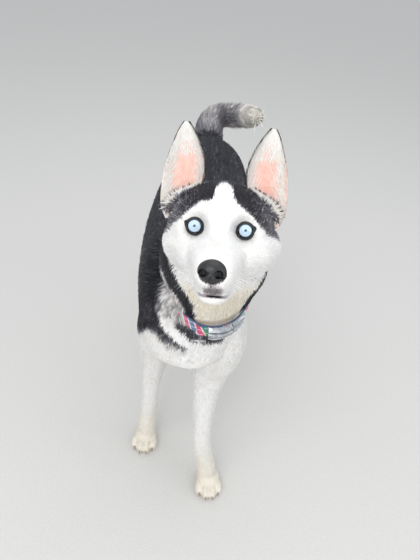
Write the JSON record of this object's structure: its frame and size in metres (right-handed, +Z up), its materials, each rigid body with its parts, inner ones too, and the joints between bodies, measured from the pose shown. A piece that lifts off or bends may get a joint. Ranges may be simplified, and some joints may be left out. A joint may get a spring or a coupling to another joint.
{
  "type": "siberian husky, still life-size model",
  "caption": "Life-size still model of a standing Siberian husky with raised head, upright ears, pale blue eyes, bushy sickle tail and a flat webbing collar.",
  "frame": {"origin": "middle of the bounding box, at floor level", "axes": "+Z up, -Y the way the dog faces, +X its left side"},
  "size_m": [0.2626, 0.8586, 0.7723],
  "materials": {
    "black_coat": "dense double coat, matt, blue-black guard hairs over grey wool",
    "white_coat": "dense double coat, matt, white with cream on throat and feet",
    "ear_skin": "thin pink skin with fine pale hairs",
    "nose_leather": "pebbled, moist sheen",
    "eye_glass": "polished glass eye, pale blue iris",
    "webbing": "flat woven polyester webbing with a multicoloured block pattern",
    "buckle_metal": "smooth satin"
  },
  "bodies": {
    "root": {"head": "white_coat", "nose": "nose_leather", "ear_left": "ear_skin", "eye_left": "eye_glass", "ear_right": "ear_skin", "eye_right": "eye_glass", "upper_foreleg_left": "white_coat", "lower_foreleg_left": "white_coat", "forepaw_left": "white_coat", "thigh_left": "black_coat", "hock_left": "white_coat", "hind_paw_left": "white_coat", "upper_foreleg_right": "white_coat", "lower_foreleg_right": "white_coat", "forepaw_right": "white_coat", "thigh_right": "black_coat", "hock_right": "white_coat", "hind_paw_right": "white_coat", "neck": "black_coat", "chest": "black_coat", "loin": "black_coat", "tail_root": "black_coat", "tail_middle": "black_coat", "tail_tip": "black_coat", "collar_strap": "webbing", "collar_ring": "buckle_metal", "collar_buckle": "buckle_metal", "collar_slider": "buckle_metal"}
  },
  "joints": []
}
